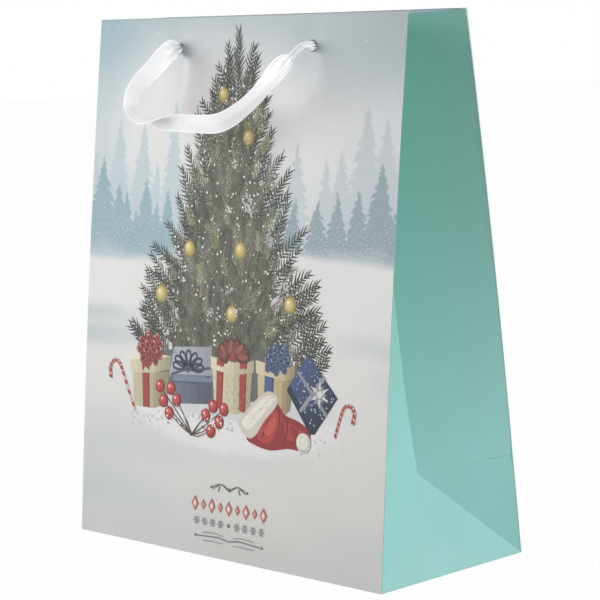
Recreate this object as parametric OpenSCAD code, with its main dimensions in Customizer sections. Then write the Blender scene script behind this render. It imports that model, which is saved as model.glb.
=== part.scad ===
// Paper gift bag: a folded and glued sheet with side gussets, a block
// bottom with a loose board, a turned-in top hem with card strips,
// and two satin ribbon handles knotted inside.
// Origin at the centre of the base, +Z up, front towards -Y.

/* [Bag] */
// Width of the front and back panels
bag_w = 260; // [220:1:300]
// Height of the panels, measured along the paper
bag_h = 320; // [280:1:380]
// Depth of the base and width of each side gusset
bag_d = 120; // [100:1:140]
// Gap between the top edges of the two panels as the bag stands
mouth = 48.6; // [40:0.2:70]
// Thickness of the printed paper
paper_t = 0.4; // [0.3:0.05:0.6]
// How far the gusset creases are pushed in, as a share of a tight fold
gusset_in = 0.93; // [0.8:0.01:1]
// Outward bow of each gusset half
gusset_bow = 2; // [0:0.5:4]

/* [Top hem] */
// Depth of the paper turned in at the mouth
hem_h = 40; // [35:1:60]
// Thickness of the card strip inside the hem
card_t = 0.8; // [0.5:0.1:1.2]
// Height of the card strip
card_h = 32; // [28:1:34]
// Width of the side seam flap
seam_w = 15; // [10:1:20]

/* [Base] */
// Width of the two long base flaps
flap_w = 78; // [70:1:85]
// Thickness of the loose base board
board_t = 1.2; // [0.8:0.1:2]

/* [Handles] */
// Distance between the two ribbon holes of a panel
hole_gap = 114; // [100:1:130]
// Distance of the holes below the top edge
hole_drop = 18; // [16:1:20]
// Radius of a ribbon hole
hole_r = 3; // [2.8:0.1:3.5]
// Width of the satin ribbon
ribbon_w = 12; // [8:0.5:15]
// Thickness of the gathered ribbon
ribbon_t = 1.2; // [0.8:0.1:1.6]

/* [Hidden] */
$fn = 48;

lean = asin((bag_d - mouth) / 2 / bag_h);
half_w = bag_w / 2;
half_d = bag_d / 2;
// The fold lines of the panels sit just above the surface the bag stands on
fold_z = 0.4;
hem_y = paper_t + card_t;
hole_s = bag_h - hole_drop;
gap = 0.8;
ROWS = 14;
COLS = 5;

// ---- the gusset surface ------------------------------------------------
// s runs up the panel's side edge, u runs from that edge to the crease
function hd(s) = half_d - s * sin(lean);
function recess(s) = gusset_in * sqrt(max(0, half_d * half_d - hd(s) * hd(s)));
apex_in = recess(half_d);
apex_z = sqrt(half_d * half_d - apex_in * apex_in);
crease_top_z = bag_h * cos(lean) - 3;
corner = [half_w - 0.5, -half_d + 2, 1.6];
apex = [half_w - 0.5 - apex_in, -0.3, apex_z + 0.6];
function edge_pt(s) = [half_w - 0.5, -hd(s) + 2, s * cos(lean) + fold_z];
function crease_pt(s) = s < half_d
    ? corner + (apex - corner) * (s / half_d)
    : [half_w - 0.5 - recess(s), -0.3,
       apex[2] + (s - half_d) / (bag_h - half_d) * (crease_top_z - apex[2])];
function bow(s, u) = gusset_bow * sin(180 * u) * min(1, s / half_d) * [0.6, 0.6, 0];
function gusset_pt(s, u) = edge_pt(s) * (1 - u) + crease_pt(s) * u + bow(s, u);
row_s = [for (i = [0:ROWS - 1]) i < 5 ? 4 + (half_d - 4) * i / 4
    : half_d + (bag_h - 0.5 - half_d) * (i - 4) / (ROWS - 5)];

// ---- helpers -----------------------------------------------------------
// A thin closed sheet through a grid of points, thickened along off
module sheet(rows, off) {
    n = len(rows);
    m = len(rows[0]);
    k = n * m;
    outer = [for (r = rows) for (p = r) p];
    inner = [for (p = outer) p + off];
    function id(i, j) = i * m + j;
    skin = [for (i = [0:n - 2]) for (j = [0:m - 2])
        for (t = [[id(i, j), id(i, j + 1), id(i + 1, j + 1)],
                  [id(i, j), id(i + 1, j + 1), id(i + 1, j)]]) t];
    back = [for (t = skin) [t[2] + k, t[1] + k, t[0] + k]];
    rim = concat(
        [for (j = [0:m - 2]) [id(0, j), id(0, j) + k, id(0, j + 1) + k, id(0, j + 1)]],
        [for (j = [0:m - 2]) [id(n - 1, j + 1), id(n - 1, j + 1) + k, id(n - 1, j) + k, id(n - 1, j)]],
        [for (i = [0:n - 2]) [id(i + 1, 0), id(i + 1, 0) + k, id(i, 0) + k, id(i, 0)]],
        [for (i = [0:n - 2]) [id(i, m - 1), id(i, m - 1) + k, id(i + 1, m - 1) + k, id(i + 1, m - 1)]]);
    tris = [for (q = rim) for (t = [[q[0], q[1], q[2]], [q[0], q[2], q[3]]]) t];
    polyhedron(points = concat(outer, inner), faces = concat(skin, back, tris));
}

// Puts a shape drawn flat in XZ, outer face on y = 0, on the front panel
module on_front() translate([0, -half_d, fold_z]) rotate([-lean, 0, 0]) children();
module on_back() mirror([0, 1, 0]) on_front() children();

// A flat plate in the panel's own plane, with the ribbon holes through it
module plate(x, s0, s1, y0, y1, holes = true) {
    difference() {
        translate([-x, y0, s0]) cube([2 * x, y1 - y0, s1 - s0]);
        if (holes) for (k = [-1, 1])
            translate([k * hole_gap / 2, y0 - 1, hole_s]) rotate([-90, 0, 0])
                cylinder(r = hole_r, h = y1 - y0 + 2);
    }
}

// ---- panels ------------------------------------------------------------
module panel_sheet() plate(half_w, 0, bag_h, 0, paper_t);
module hem() {
    plate(half_w - 2.5, bag_h - hem_h, bag_h, hem_y, hem_y + paper_t);
    translate([-half_w + 2.5, paper_t, bag_h - paper_t])
        cube([bag_w - 5, card_t, paper_t]);
}
module hem_card() plate(half_w - 5, bag_h - 1.6 - card_h, bag_h - 1.6, paper_t, hem_y);

module front_panel() { color([0.80, 0.85, 0.87]) on_front() panel_sheet(); }
module back_panel() { color([0.80, 0.85, 0.87]) on_back() panel_sheet(); }
module front_top_hem() { color([0.93, 0.94, 0.93]) on_front() hem(); }
module back_top_hem() { color([0.93, 0.94, 0.93]) on_back() hem(); }
module front_hem_card() { color([0.72, 0.70, 0.66]) on_front() hem_card(); }
module back_hem_card() { color([0.72, 0.70, 0.66]) on_back() hem_card(); }
// The glued edge of the sheet, inside the back left corner
module side_seam_flap() {
    color([0.93, 0.94, 0.93]) on_back()
        translate([-half_w + 2, paper_t, 24])
            cube([seam_w, paper_t, bag_h - card_h - 4 - 24]);
}

// ---- gussets -----------------------------------------------------------
module gusset_half()
    sheet([for (s = row_s) [for (j = [0:COLS - 1]) gusset_pt(s, j / (COLS - 1))]],
        [-0.3, -0.3, 0] * paper_t / 0.4);
module base_triangle() {
    tilt = asin(apex_in / half_d);
    r = half_d - 3.2;
    translate([half_w - 0.5, 0, 2]) rotate([0, -tilt, 0]) rotate([90, 0, -90])
        linear_extrude(paper_t) polygon([[-r, 0], [r, 0], [0, r]]);
}
module right_gusset_front_half() { color([0.50, 0.76, 0.70]) gusset_half(); }
module right_gusset_back_half() { color([0.50, 0.76, 0.70]) mirror([0, 1, 0]) gusset_half(); }
module left_gusset_front_half() { color([0.50, 0.76, 0.70]) mirror([1, 0, 0]) gusset_half(); }
module left_gusset_back_half() { color([0.50, 0.76, 0.70]) mirror([1, 0, 0]) mirror([0, 1, 0]) gusset_half(); }
module right_gusset_base_triangle() { color([0.55, 0.80, 0.75]) base_triangle(); }
module left_gusset_base_triangle() { color([0.55, 0.80, 0.75]) mirror([1, 0, 0]) base_triangle(); }

// ---- base --------------------------------------------------------------
// A long flap with 45 degree ends, hinged along the front edge
module long_flap()
    linear_extrude(paper_t) polygon([
        [-half_w + gap, -half_d + gap], [half_w - gap, -half_d + gap],
        [half_w - flap_w, -half_d + flap_w], [-half_w + flap_w, -half_d + flap_w]]);
module side_tuck() {
    x = half_w - gap;
    r = half_d - 2 * gap;
    translate([0, 0, paper_t]) linear_extrude(paper_t)
        polygon([[x, -r], [x, r], [x - r, 0]]);
}
module base_back_flap() { color([0.86, 0.88, 0.87]) mirror([0, 1, 0]) long_flap(); }
module base_front_flap() { color([0.90, 0.92, 0.91]) translate([0, 0, paper_t]) long_flap(); }
module base_right_tuck() { color([0.55, 0.80, 0.75]) side_tuck(); }
module base_left_tuck() { color([0.55, 0.80, 0.75]) mirror([1, 0, 0]) side_tuck(); }
module base_board() {
    color([0.78, 0.76, 0.72]) translate([0, 0, 2 * paper_t]) linear_extrude(board_t)
        square([bag_w - 6.4, bag_d - 5], center = true);
}

// ---- ribbon handles ----------------------------------------------------
// An overhand knot: a ring round a core, a neck that fills the hole and a tail
module knot(k) {
    y = hem_y + paper_t;
    translate([k * hole_gap / 2, 0, hole_s]) {
        translate([0, y + 3, 0]) rotate([-90, 0, 0])
            rotate_extrude() translate([3.2, 0]) circle(r = 2);
        translate([0, y + 3.9, 0]) sphere(r = 3.4);
        translate([0, 0.1, 0]) rotate([-90, 0, 0]) cylinder(r = 1.9, h = y + 3);
        translate([-3.5, y + 3, -19]) cube([7, 0.8, 17]);
    }
}
module front_ribbon_knots() { color([0.96, 0.96, 0.97]) on_front() { knot(-1); knot(1); } }
module back_ribbon_knots() { color([0.96, 0.96, 0.97]) on_back() { knot(-1); knot(1); } }

// Route of the hanging ribbon in the panel's plane: across, out from the
// paper, up the panel, then half of the ribbon's width there, and the
// direction of that width
route = [
    [-57, 1, 302, 1.9, [-0.6, 0, 0.8]],
    [-56.5, 4, 302, 3, [-0.6, 0.1, 0.8]],
    [-55, 8, 300.5, 4.5, [-0.6, 0.3, 0.7]],
    [-55.5, 13, 295.5, 5.5, [-0.6, 0.5, 0.5]],
    [-56.5, 18, 290, 6, [-0.6, 0.6, 0.5]],
    [-58.5, 22.5, 284.5, 6, [-0.6, 0.7, 0.4]],
    [-61.5, 26, 279, 6, [-0.5, 0.8, 0.3]],
    [-64.5, 28, 272.5, 6, [-0.2, 1, 0.1]],
    [-64.5, 29, 266, 6, [0, 1, 0]],
    [-60, 29.5, 261, 6, [0.1, 1, 0]],
    [-52, 30, 257.5, 6, [0.1, 1, 0]],
    [-42.5, 30, 256, 6, [0, 1, 0.2]],
    [-32, 30, 256, 6, [0, 0.8, 0.5]],
    [-21, 30, 256, 6, [0, 0.6, 0.8]],
    [-6, 30, 255.5, 6, [0, 0.5, 0.9]],
    [8, 30, 255.5, 6, [0, 0.5, 0.9]],
    [19, 30, 257.5, 6, [-0.2, 0.6, 0.8]],
    [29.5, 29, 262.5, 6, [-0.4, 0.7, 0.6]],
    [39, 27, 269.5, 6, [-0.4, 0.8, 0.4]],
    [47, 25, 278, 5.8, [-0.4, 0.8, 0.3]],
    [52.5, 21.5, 287, 5, [-0.5, 0.7, 0.4]],
    [55, 17.5, 293, 3.5, [-0.5, 0.7, 0.4]],
    [56.5, 13, 297.5, 2.6, [-0.6, 0.6, 0.4]],
    [57.5, 9, 301, 2.2, [-0.6, 0.5, 0.5]],
    [57.5, 5, 302.5, 2, [-0.7, 0.3, 0.6]],
    [57, 1, 302, 1.9, [-0.7, 0, 0.7]]];

function unit(v) = v / norm(v);
function clampi(i) = max(0, min(len(route) - 1, i));
function at(i, k) = route[clampi(i)][k];
// Catmull-Rom value k of the route between points i and i + 1
function blend(i, t, k) = let (a = at(i - 1, k), b = at(i, k), c = at(i + 1, k), d = at(i + 2, k))
    0.5 * (2 * b + (c - a) * t + (2 * a - 5 * b + 4 * c - d) * t * t
        + (3 * b - a - 3 * c + d) * t * t * t);
function spot(i, t) = [blend(i, t, 0), -blend(i, t, 1), blend(i, t, 2)];
ring_at = concat([for (i = [0:len(route) - 2]) for (t = [0, 0.5]) [i, t]], [[len(route) - 2, 1]]);
centres = [for (r = ring_at) spot(r[0], r[1])];
SIDES = 8;
function tangent(j) = unit(centres[min(j + 1, len(centres) - 1)] - centres[max(j - 1, 0)]);
function ring(j) = let (r = ring_at[j], t = tangent(j), a = blend(r[0], r[1], 3) * ribbon_w / 12,
        w0 = blend(r[0], r[1], 4), w1 = [w0[0], -w0[1], w0[2]],
        w = unit(w1 - t * (t * w1)), n = cross(t, w))
    [for (k = [0:SIDES - 1]) centres[j] + w * a * cos(360 * k / SIDES)
        + n * (ribbon_t / 2 + (6 - a) * 0.16) * sin(360 * k / SIDES)];
module ribbon() {
    rings = [for (j = [0:len(centres) - 1]) ring(j)];
    n = len(rings);
    pts = [for (r = rings) for (p = r) p];
    sides = [for (i = [0:n - 2]) for (k = [0:SIDES - 1]) let (q = (k + 1) % SIDES)
        for (t = [[i * SIDES + k, i * SIDES + q, (i + 1) * SIDES + q],
                  [i * SIDES + k, (i + 1) * SIDES + q, (i + 1) * SIDES + k]]) t];
    ends = [[for (k = [SIDES - 1:-1:0]) k], [for (k = [0:SIDES - 1]) (n - 1) * SIDES + k]];
    polyhedron(points = pts, faces = concat(sides, ends));
}
module front_ribbon_handle() { color([0.97, 0.97, 0.98]) on_front() ribbon(); }
module back_ribbon_handle() { color([0.97, 0.97, 0.98]) rotate([0, 0, 180]) on_front() ribbon(); }

front_panel();
back_panel();
front_top_hem();
back_top_hem();
front_hem_card();
back_hem_card();
side_seam_flap();
right_gusset_front_half();
right_gusset_back_half();
left_gusset_front_half();
left_gusset_back_half();
right_gusset_base_triangle();
left_gusset_base_triangle();
base_front_flap();
base_back_flap();
base_right_tuck();
base_left_tuck();
base_board();
front_ribbon_knots();
back_ribbon_knots();
front_ribbon_handle();
back_ribbon_handle();
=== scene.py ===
import bpy, bmesh, math, random
import numpy as np
from mathutils import Vector, Matrix
from mathutils.geometry import delaunay_2d_cdt, tessellate_polygon


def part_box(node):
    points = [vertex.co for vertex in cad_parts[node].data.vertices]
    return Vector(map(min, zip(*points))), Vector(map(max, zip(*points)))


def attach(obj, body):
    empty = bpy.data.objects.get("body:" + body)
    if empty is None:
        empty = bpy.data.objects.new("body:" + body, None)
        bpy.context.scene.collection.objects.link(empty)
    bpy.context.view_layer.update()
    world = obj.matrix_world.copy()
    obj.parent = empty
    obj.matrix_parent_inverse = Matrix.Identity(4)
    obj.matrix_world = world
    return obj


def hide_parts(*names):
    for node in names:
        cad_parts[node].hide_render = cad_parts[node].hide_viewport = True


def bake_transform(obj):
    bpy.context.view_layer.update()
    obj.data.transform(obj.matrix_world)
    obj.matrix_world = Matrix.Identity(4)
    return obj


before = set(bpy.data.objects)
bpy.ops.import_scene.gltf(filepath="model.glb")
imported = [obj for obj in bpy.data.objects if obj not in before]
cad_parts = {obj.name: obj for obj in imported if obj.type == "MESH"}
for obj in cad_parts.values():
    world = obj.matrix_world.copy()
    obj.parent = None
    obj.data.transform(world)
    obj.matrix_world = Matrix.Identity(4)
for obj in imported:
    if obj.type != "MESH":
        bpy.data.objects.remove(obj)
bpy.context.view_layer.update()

scene = bpy.context.scene
scene.view_settings.view_transform = "Standard"
MM = 0.001

# ------------------------------------------------------------------ sizes
lo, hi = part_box("front_panel")
blo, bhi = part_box("back_panel")
W = (hi[0] - lo[0]) / MM                      # 260 width
D = (bhi[1] - lo[1]) / MM                     # 120 base depth
TOP_Y = -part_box("front_panel")[1][1] / MM     # inner face of the front panel's top edge
H = 320.0
FOLD_Z = 0.4
T = 0.4                                       # paper thickness
CARD = 0.8
LEAN = math.asin((D - 48.6) / 2 / H)
SL, CL = math.sin(LEAN), math.cos(LEAN)
HW, HD = W / 2, D / 2
HOLE_X, HOLE_S, HOLE_R = 57.0, H - 18.0, 3.0
HEM = 40.0
HEM_N = T + CARD


def smooth(a, b, v):
    t = min(1.0, max(0.0, (v - a) / (b - a)))
    return t * t * (3 - 2 * t)


# ------------------------------------------------------------------ camera
def make_camera():
    yaw, pitch, roll = math.radians(45.6), math.radians(7.39), math.radians(-2.08)
    d = Vector((-math.sin(yaw) * math.cos(pitch), math.cos(yaw) * math.cos(pitch), -math.sin(pitch)))
    r = d.cross(Vector((0, 0, 1))).normalized()
    u = r.cross(d)
    r2 = math.cos(roll) * r + math.sin(roll) * u
    u2 = -math.sin(roll) * r + math.cos(roll) * u
    cam = bpy.data.objects.new("camera", bpy.data.cameras.new("camera"))
    scene.collection.objects.link(cam)
    m = Matrix((( r2.x, u2.x, -d.x, 0.9664), (r2.y, u2.y, -d.y, -0.9344), (r2.z, u2.z, -d.z, 0.3232), (0, 0, 0, 1)))
    cam.matrix_world = m
    cam.data.sensor_width = 36.0
    cam.data.lens = 2254.0 * 36.0 / 600.0
    cam.data.shift_x, cam.data.shift_y = 0.002, -0.0027
    cam.data.clip_start, cam.data.clip_end = 0.05, 20.0
    scene.camera = cam


make_camera()


# ------------------------------------------------------------------ surfaces
# Panel coordinates: x across, s up the paper, n inwards from the outer face.
def bulge(x, s):
    """How far the paper stands outwards from its flat plane, in mm."""
    t = s / H
    b = 2.0 * math.sin(math.pi * min(1, max(0, t)))
    b -= 1.2 * (1 - (x / HW) ** 2) * smooth(0.55, 1.0, t)
    b += 0.9 * math.sin(x / HW * 2.1 + 0.6) * math.sin(math.pi * min(1, max(0, t))) * (1 - (x / HW) ** 4)
    for k in (-1, 1):                         # the ribbons pull a soft dent round each hole
        dx, ds = x - k * HOLE_X, s - HOLE_S
        up = 10.0 if ds > 0 else 24.0
        b -= 0.9 * math.exp(-(dx / 9.0) ** 2 - (ds / up) ** 2)
        b += 0.5 * math.exp(-((dx - 9 * k) / 6.0) ** 2 - ((ds + 14) / 20.0) ** 2)
    return b


def on_front(x, s, n):
    n = n - bulge(x, s)
    return (x * MM, (-HD + s * SL + n * CL) * MM, (FOLD_Z + s * CL - n * SL) * MM)


def on_back(x, s, n):
    """The back panel, seen from behind with x to its own right."""
    n = n - bulge(x, s) + 0.7 * math.exp(-((s - HD) / 5.0) ** 2)
    return (-x * MM, (HD - s * SL - n * CL) * MM, (FOLD_Z + s * CL - n * SL) * MM)


# ------------------------------------------------------------------ mesh helpers
def new_object(name, verts, faces, mats, index=None, uvs=None, smooth_faces=True):
    me = bpy.data.meshes.new(name)
    me.from_pydata([tuple(v) for v in verts], [], [tuple(f) for f in faces])
    for m in mats:
        me.materials.append(m)
    if index is not None:
        me.polygons.foreach_set("material_index", np.array(index, np.int32))
    if uvs is not None:                       # one pair for each vertex
        lay = me.uv_layers.new(name="print")
        li = np.zeros(len(me.loops), np.int32)
        me.loops.foreach_get("vertex_index", li)
        lay.data.foreach_set("uv", np.array(uvs, np.float32)[li].reshape(-1))
    if smooth_faces:
        me.polygons.foreach_set("use_smooth", np.ones(len(faces), bool))
    me.update()
    ob = bpy.data.objects.new(name, me)
    scene.collection.objects.link(ob)
    return ob


def join(name, obs):
    """One object from several that share one list of materials."""
    bm = bmesh.new()
    for o in obs:
        bm.from_mesh(o.data)
    me = bpy.data.meshes.new(name)
    bm.to_mesh(me)
    bm.free()
    for m in obs[0].data.materials:
        me.materials.append(m)
    ob = bpy.data.objects.new(name, me)
    scene.collection.objects.link(ob)
    for o in obs:
        old = o.data
        bpy.data.objects.remove(o)
        bpy.data.meshes.remove(old)
    return ob


def sharpen(ob, angle=30):
    """Marks edges sharper than the angle, so that flat and smooth parts both shade right."""
    me = ob.data
    me.set_sharp_from_angle(angle=math.radians(angle))


def cut_sheet(x0, x1, s0, s1, step, holes, extra_s=()):
    """A triangulated rectangle with round holes: [(x, s)], [triangles], [loops of border vertex numbers]."""
    nx, ns = max(1, round((x1 - x0) / step)), max(1, round((s1 - s0) / step))
    pts, edges = [], []
    border = []
    for i in range(nx): border.append((x0 + (x1 - x0) * i / nx, s0))
    for j in range(ns): border.append((x1, s0 + (s1 - s0) * j / ns))
    for i in range(nx): border.append((x1 - (x1 - x0) * i / nx, s1))
    for j in range(ns): border.append((x0, s1 - (s1 - s0) * j / ns))
    loops = [list(range(len(border)))]
    pts += border
    for hx, hs, hr in holes:
        if not (x0 < hx < x1 and s0 < hs < s1):
            continue
        k0 = len(pts)
        n = 28
        pts += [(hx + hr * math.cos(2 * math.pi * k / n), hs + hr * math.sin(2 * math.pi * k / n)) for k in range(n)]
        loops.append(list(range(k0, k0 + n))[::-1])
        for ring, m in ((1.35, 28), (1.9, 24), (2.7, 20)):
            pts += [(hx + hr * ring * math.cos(2 * math.pi * (k + .5) / m), hs + hr * ring * math.sin(2 * math.pi * (k + .5) / m)) for k in range(m)]
    for i in range(1, nx):
        for j in range(1, ns):
            p = (x0 + (x1 - x0) * i / nx, s0 + (s1 - s0) * j / ns)
            if all(math.hypot(p[0] - h[0], p[1] - h[1]) > h[2] * 3.2 for h in holes):
                pts.append(p)
    edges = [(l[k], l[(k + 1) % len(l)]) for l in loops for k in range(len(l))]
    v, e, f, ov, oe, of_ = delaunay_2d_cdt([Vector(p) for p in pts], edges, [], 0, 1e-5)
    back = {}
    for new, olds in enumerate(ov):
        for o in olds:
            back[o] = new
    v = [(p.x, p.y) for p in v]
    faces = []
    for t in f:
        cx = sum(v[i][0] for i in t) / 3
        cs = sum(v[i][1] for i in t) / 3
        if any(math.hypot(cx - h[0], cs - h[1]) < h[2] * 0.97 for h in holes):
            continue
        a, b, c = (v[i] for i in t)
        if (b[0] - a[0]) * (c[1] - a[1]) - (b[1] - a[1]) * (c[0] - a[0]) < 0:
            t = t[::-1]
        faces.append(tuple(t))
    loops = [[back[i] for i in l] for l in loops]
    return v, faces, loops


def slab(name, place, x0, x1, s0, s1, n0, n1, mats, step=5.0, holes=True, flip=False, edge_mats=None):
    """A sheet of paper or card on a panel, from depth n0 to n1, with its ribbon holes. mats: outer, inner, rim."""
    hs = [(k * HOLE_X, HOLE_S, HOLE_R) for k in (-1, 1)] if holes else []
    v, f, loops = cut_sheet(x0, x1, s0, s1, step, hs)
    n = len(v)
    verts = [place(x, s, n0) for x, s in v] + [place(x, s, n1) for x, s in v]
    faces = [tuple(t) for t in f] + [tuple(i + n for i in t[::-1]) for t in f]
    index = [0] * len(f) + [1] * len(f)
    for l in loops:
        for k in range(len(l)):
            a, b = l[k], l[(k + 1) % len(l)]
            faces.append((b, a, a + n, b + n))
            # upright outer edges take a fourth material when one is given, which on the panels is a painted shade
            side = l is loops[0] and abs(v[a][0] - v[b][0]) < 1e-6
            index.append(3 if side and len(mats) > 3 else 2)
    uvs = [(x / 100, s / 100) for x, s in v] * 2
    ob = new_object(name, verts, faces, mats, index, uvs)
    sharpen(ob)
    return ob


# ------------------------------------------------------------------ materials
def srgb(r, g, b):
    f = lambda c: c / 12.92 if c <= 0.04045 else ((c + 0.055) / 1.055) ** 2.4
    return (f(r / 255), f(g / 255), f(b / 255), 1.0)


def material(name):
    m = bpy.data.materials.new(name)
    m.use_nodes = True
    nt = m.node_tree
    return m, nt, nt.nodes["Principled BSDF"]


class N:
    """Short calls for building a node tree."""

    def __init__(self, nt):
        self.nt = nt

    def node(self, kind, **props):
        n = self.nt.nodes.new(kind)
        for k, v in props.items():
            setattr(n, k, v)
        return n

    def put(self, socket, value):
        if hasattr(value, "links"):
            self.nt.links.new(value, socket)
        else:
            socket.default_value = value

    def math(self, op, a, b=None, c=None, clamp=False):
        n = self.node("ShaderNodeMath", operation=op, use_clamp=clamp)
        for i, v in enumerate((a, b, c)):
            if v is not None:
                self.put(n.inputs[i], v)
        return n.outputs[0]

    def add(self, a, b): return self.math("ADD", a, b)
    def sub(self, a, b): return self.math("SUBTRACT", a, b)
    def mul(self, a, b): return self.math("MULTIPLY", a, b)

    def step(self, a, b, v):
        """Smoothstep of v from a to b."""
        n = self.node("ShaderNodeMapRange", interpolation_type="SMOOTHSTEP")
        self.put(n.inputs["Value"], v)
        self.put(n.inputs["From Min"], a)
        self.put(n.inputs["From Max"], b)
        return n.outputs["Result"]

    def mix(self, f, a, b):
        n = self.node("ShaderNodeMix", data_type="RGBA")
        self.put(n.inputs[0], f)
        self.put(n.inputs[6], a)
        self.put(n.inputs[7], b)
        return n.outputs[2]

    def noise(self, vec, scale, detail=2.0, rough=0.5, dims="3D"):
        n = self.node("ShaderNodeTexNoise", noise_dimensions=dims)
        self.put(n.inputs["Vector"], vec)
        n.inputs["Scale"].default_value = scale
        n.inputs["Detail"].default_value = detail
        n.inputs["Roughness"].default_value = rough
        return n.outputs[0]

    def object_coords(self):
        return self.node("ShaderNodeTexCoord").outputs["Object"]

    def scaled(self, vec, scale):
        n = self.node("ShaderNodeMapping")
        self.put(n.inputs["Vector"], vec)
        n.inputs["Scale"].default_value = scale
        return n.outputs["Vector"]

    def bump(self, height, strength, distance, normal=None):
        n = self.node("ShaderNodeBump")
        n.inputs["Strength"].default_value = strength
        n.inputs["Distance"].default_value = distance
        self.put(n.inputs["Height"], height)
        if normal is not None:
            self.put(n.inputs["Normal"], normal)
        return n.outputs["Normal"]


def paper_finish(k, p, co, rough=0.45, spread=0.1, grain=0.05):
    """Laminated paper: a slightly uneven sheen and a very fine fibre relief."""
    big = k.noise(co, 60, 2)
    p.inputs["Specular IOR Level"].default_value = 0.45
    k.put(p.inputs["Roughness"], k.math("MULTIPLY_ADD", big, spread * 2, rough - spread))
    fine = k.noise(co, 2600, 3, 0.6)
    soft = k.noise(co, 45, 2, 0.45)
    n1 = k.bump(soft, 0.25, 0.0006)
    k.put(p.inputs["Normal"], k.bump(fine, grain, 0.0001, n1))


def plain_paper(name, colour, second, rough=0.6, grain=0.12, top=None):
    """Paper of one colour with faint mottling. top = (z0, z1, colour) paints a shade over it, blending to that colour
    as the height rises from z0 to z1.
    """
    m, nt, p = material(name)
    k = N(nt)
    co = k.object_coords()
    f = k.noise(co, 38, 3, 0.55)
    c = k.mix(k.step(0.3, 0.7, f), colour, second)
    # painted shade: the colour blends towards the top colour with height
    if top:
        z = k.node("ShaderNodeSeparateXYZ")
        k.put(z.inputs[0], co)
        c = k.mix(k.step(top[0], top[1], z.outputs[2]), c, top[2])
    k.put(p.inputs["Base Color"], c)
    paper_finish(k, p, co, rough, 0.06, grain)
    return m


# painted shade: the mint paper is painted darker from the floor up to 0.24 m, standing in for the shade in the
# recessed upper gusset
MINT = plain_paper("gusset_mint_paper", srgb(166, 224, 219), srgb(162, 221, 215), 0.42, 0.06, top=(0.0, 0.24, srgb(151, 208, 197)))
WHITE = plain_paper("inner_white_paper", srgb(236, 236, 232), srgb(229, 229, 226), 0.62, 0.16)
EDGE = plain_paper("paper_edge", srgb(240, 241, 238), srgb(230, 231, 228), 0.8, 0.2)
SKY = plain_paper("printed_sky_paper", srgb(190, 208, 216), srgb(196, 211, 218), 0.45, 0.06)
# painted shade: a darker mint laid as a strip along the gusset's crease line
CREASE = plain_paper("gusset_crease_painted_shade", srgb(140, 197, 190), srgb(148, 205, 198), 0.5, 0.1)
# painted shade: a darker mint for the panels' upright side edges
RIM_SHADE = plain_paper("panel_rim_painted_shade", srgb(138, 186, 180), srgb(132, 180, 174), 0.6, 0.1)
BASE = plain_paper("base_paper", srgb(206, 210, 209), srgb(212, 215, 214), 0.5, 0.08)
CARDM = plain_paper("grey_card", srgb(172, 168, 160), srgb(158, 154, 147), 0.85, 0.5)

# ------------------------------------------------------------------ ribbons
# across, out from the panel, up the panel, half width, direction of the width, fold depth
ROUTE = [
    (-57, -2, 302, 2.6, (-0.6, 0, 0.8), 0), (-57, 0.6, 302, 2.9, (-0.5, 0, 0.85), 0), (-56.0, 3.2, 301.8, 5.0, (-0.4, 0.05, 0.9), 0.2),
    (-54.6, 7.2, 300.8, 5.6, (-0.45, 0.35, 0.8), 0.5), (-55.3, 12.6, 296, 5.9, (-0.35, 0.6, 0.65), 0.8), (-56.5, 18, 290, 6, (-0.15, 0.8, 0.55), 0.5),
    (-58.5, 22.5, 284.5, 6, (-0.05, 0.85, 0.5), 0.2), (-61.5, 26, 279, 6, (0, 0.9, 0.4), 0), (-64.5, 28, 272.5, 6, (0.1, 1, 0.15), -0.4),
    (-64.5, 29, 266, 6, (0.2, 1, 0), -1.2), (-60, 29.5, 261, 6, (0.15, 1, 0), -2.8), (-52, 30, 257.5, 6, (0.1, 1, -0.1), -4.0),
    (-42.5, 30, 256, 6, (0, 1, 0.1), -4.2), (-32, 30, 256, 6, (0, 0.85, 0.45), -3.0), (-21, 30, 256, 6, (0, 0.6, 0.8), -0.8),
    (-6, 30, 255.5, 6, (0, 0.5, 0.9), 0.4), (8, 30, 255.5, 6, (0, 0.5, 0.9), 0.4), (19, 30, 257.5, 6, (-0.1, 0.7, 0.75), 0.9),
    (29.5, 29, 262.5, 6, (-0.1, 0.85, 0.5), 1.5), (39, 27, 269.5, 6, (-0.05, 0.92, 0.35), 1.7), (47, 25, 278, 5.9, (-0.1, 0.9, 0.3), 1.4),
    (52, 21.5, 286.5, 5.6, (-0.35, 0.75, 0.45), 1.0), (54.4, 18.2, 292, 4.6, (-0.65, 0.5, 0.5), 0.6), (56.2, 14.6, 295.6, 1.9, (-0.6, 0.6, 0.4), 0), (57, 11.6, 299, 1.9, (-0.6, 0.5, 0.5), 0),
    (57.6, 8.4, 301.4, 2.1, (-0.6, 0.5, 0.5), 0), (57.8, 5, 302.4, 2.5, (-0.7, 0.3, 0.6), 0), (57.3, 1.6, 302, 2.9, (-0.7, 0, 0.7), 0),
    (57, -2, 302, 2.5, (-0.7, 0, 0.7), 0)]
RIBBON = 6.0                                  # half the ribbon's width


def spline(rows, i, t, k):
    g = lambda j: np.array(rows[max(0, min(len(rows) - 1, j))][k], float)
    a, b, c, d = g(i - 1), g(i), g(i + 1), g(i + 2)
    return 0.5 * (2 * b + (c - a) * t + (2 * a - 5 * b + 4 * c - d) * t * t + (3 * b - a - 3 * c + d) * t ** 3)


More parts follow.
